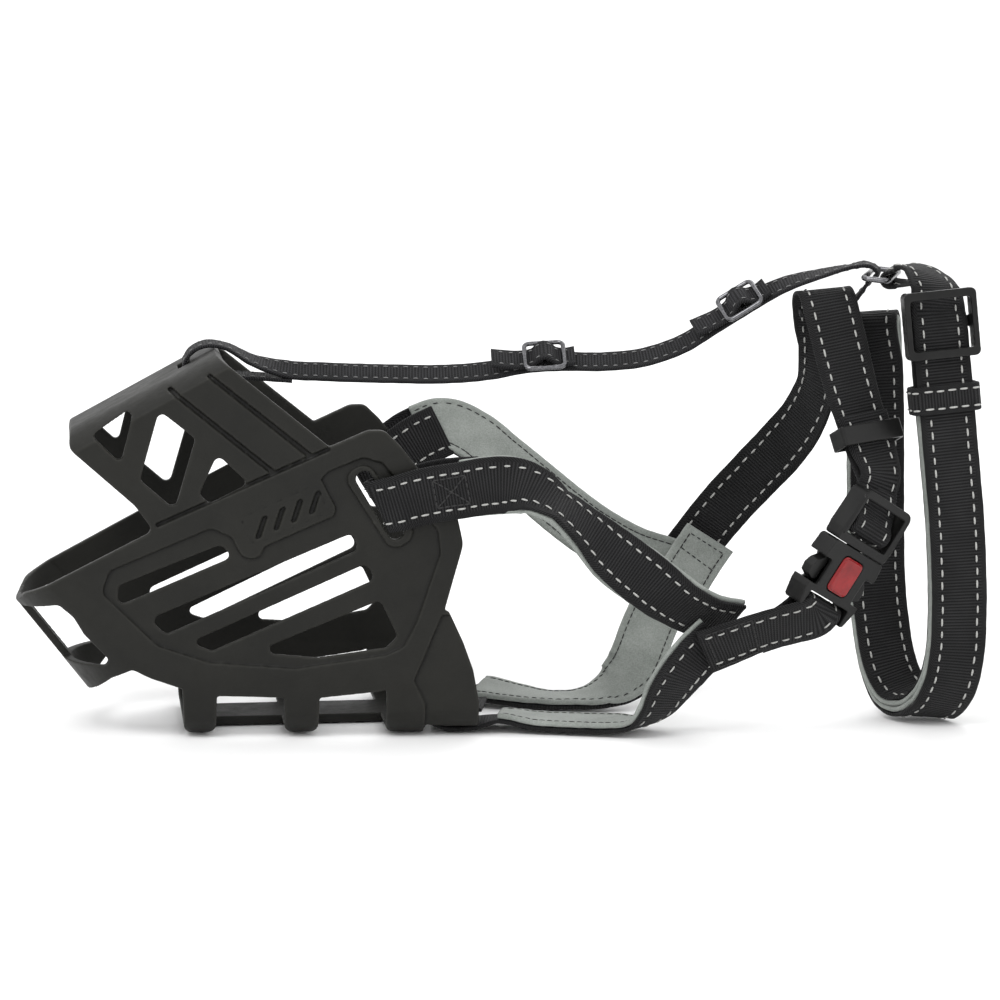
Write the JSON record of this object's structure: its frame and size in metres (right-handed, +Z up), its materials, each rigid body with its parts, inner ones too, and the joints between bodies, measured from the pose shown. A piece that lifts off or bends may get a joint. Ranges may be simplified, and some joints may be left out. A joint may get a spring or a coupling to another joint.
{
  "type": "dog basket muzzle",
  "caption": "Moulded black rubber basket muzzle for a dog, with lined webbing cheek and chin straps, a side-release buckle, a forehead strap and a folded collar loop.",
  "frame": {"origin": "middle of the flat bar under the basket, on the surface it stands on", "axes": "+X from the nose to the neck, +Z up, -Y towards the side that carries the buckle"},
  "size_m": [0.344, 0.1252, 0.1654],
  "materials": {
    "basket": "matte moulded rubber",
    "webbing": "ribbed black webbing with reflective stitches",
    "thin_webbing": "narrow black webbing",
    "lining": "grey foam lining",
    "buckle": "moulded acetal",
    "badge": "plain red domed badge",
    "wire": "bright plated wire"
  },
  "bodies": {
    "basket": {"basket_shell": "basket", "cheek_strap_near_webbing": "webbing", "cheek_strap_near_lining": "lining", "cheek_strap_far_webbing": "webbing", "cheek_strap_far_lining": "lining", "chin_strap_near_webbing": "webbing", "chin_strap_near_lining": "lining", "chin_strap_far_webbing": "webbing", "chin_strap_far_lining": "lining", "far_junction_patch": "lining", "head_strap_webbing": "webbing", "buckle_plug": "buckle", "forehead_strap": "thin_webbing"},
    "socket": {"buckle_socket": "buckle", "buckle_badge": "badge", "socket_strap": "webbing"},
    "prong_left": {"prong_left": "buckle"},
    "prong_right": {"prong_right": "buckle"},
    "tail_keeper": {"tail_keeper": "buckle"},
    "front_slider": {"forehead_slider_front": "wire", "forehead_strap_end_front": "thin_webbing"},
    "rear_slider": {"forehead_slider_rear": "wire", "forehead_strap_end_rear": "thin_webbing"},
    "ring": {"nape_ring": "wire"},
    "collar": {"collar_webbing": "webbing", "collar_lining": "lining"},
    "collar_slider": {"collar_slider": "buckle"},
    "collar_keeper": {"collar_keeper": "webbing"}
  },
  "joints": [
    {"name": "buckle_release", "type": "slide", "parent": "basket", "child": "socket", "axis": [-0.5368, 0, -0.8437], "range_m": [0, 0.019], "deforming": ["prong_left", "prong_right", "cheek_strap_near_webbing", "cheek_strap_near_lining", "chin_strap_near_webbing", "chin_strap_near_lining"]},
    {"name": "prong_left_squeeze", "type": "hinge", "parent": "basket", "child": "prong_left", "pos_m": [0.18517, -0.06078, 0.07135], "axis": [0.4294, -0.8608, -0.2733], "range_deg": [0, 7], "stiffness_Nm_per_rad": 0.02},
    {"name": "prong_right_squeeze", "type": "hinge", "parent": "basket", "child": "prong_right", "pos_m": [0.19883, -0.05122, 0.06265], "axis": [0.4294, -0.8608, -0.2733], "range_deg": [-7, 0], "stiffness_Nm_per_rad": 0.02},
    {"name": "tail_keeper_travel", "type": "slide", "parent": "basket", "child": "tail_keeper", "axis": [0.2269, -0.353, -0.9077], "range_m": [-0.003, 0.003]},
    {"name": "front_slider_travel", "type": "slide", "parent": "basket", "child": "front_slider", "axis": [0.9933, -0.0993, 0.0596], "range_m": [-0.003, 0.003]},
    {"name": "rear_slider_travel", "type": "slide", "parent": "basket", "child": "rear_slider", "axis": [0.8433, -0.1054, 0.527], "range_m": [-0.002, 0.002]},
    {"name": "nape_ring_swing", "type": "hinge", "parent": "basket", "child": "ring", "pos_m": [0.20403, -0.02197, 0.16115], "axis": [-0.369, -0.9275, -0.0598], "range_deg": [0, 20]},
    {"name": "collar_swing", "type": "hinge", "parent": "ring", "child": "collar", "pos_m": [0.21237, -0.02523, 0.16025], "axis": [-0.369, -0.9275, -0.0598], "range_deg": [0, 55]},
    {"name": "collar_slider_travel", "type": "slide", "parent": "collar", "child": "collar_slider", "axis": [0.0931, -0.0487, -0.9945], "range_m": [0, 0.006]},
    {"name": "collar_keeper_travel", "type": "slide", "parent": "collar", "child": "collar_keeper", "axis": [0.0931, -0.0487, -0.9945], "range_m": [0, 0.03]}
  ],
  "couplings": [
    {"joint": "prong_right_squeeze", "follows": "prong_left_squeeze", "ratio": -1}
  ]
}
